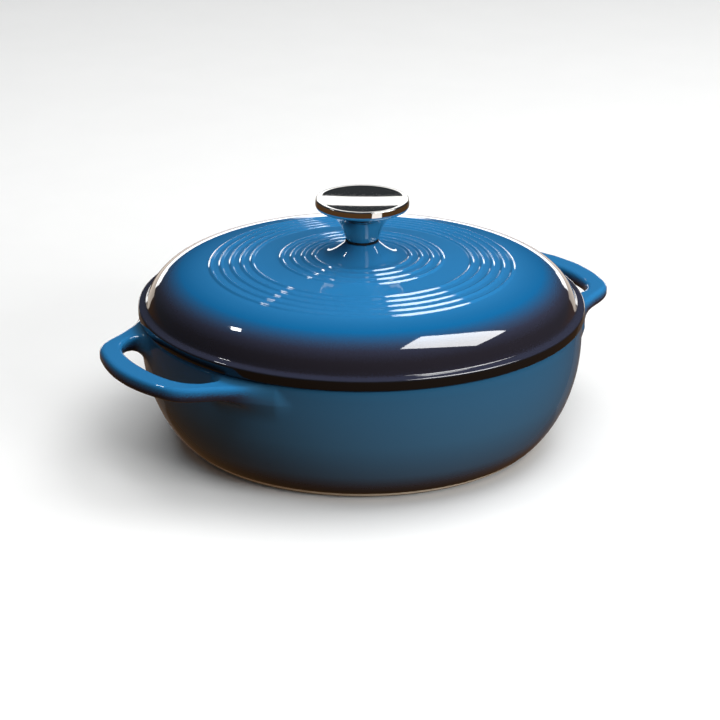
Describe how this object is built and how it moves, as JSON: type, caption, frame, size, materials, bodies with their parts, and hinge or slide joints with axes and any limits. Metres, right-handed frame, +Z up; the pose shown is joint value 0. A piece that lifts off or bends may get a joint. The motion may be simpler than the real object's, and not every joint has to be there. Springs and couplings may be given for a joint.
{
  "type": "covered casserole dish",
  "caption": "Round lidded casserole dish in enamelled cast iron, with loop handles and a domed, ringed lid lifted by a polished knob.",
  "frame": {"origin": "centre of the pot's foot, on the surface that the dish stands on", "axes": "+X towards one loop handle, +Y across the handles, +Z up through the knob"},
  "size_m": [0.368, 0.294, 0.1608],
  "materials": {
    "pot_enamel": "gloss porcelain enamel, blue shading to near black at the foot",
    "lid_enamel": "gloss porcelain enamel, bright blue crown shading to near black at the edge",
    "knob_steel": "polished stainless steel",
    "gasket_rubber": "matt black",
    "fastener_steel": "plain bright"
  },
  "bodies": {
    "pot": {"pot": "pot_enamel"},
    "lid": {"lid": "lid_enamel", "knob": "knob_steel", "knob_gasket": "gasket_rubber", "knob_screw": "fastener_steel", "spring_washer": "fastener_steel", "flat_washer": "fastener_steel"}
  },
  "joints": [
    {"name": "lid_lift", "type": "slide", "parent": "pot", "child": "lid", "axis": [0, 0, 1], "range_m": [0, 0.15]}
  ]
}
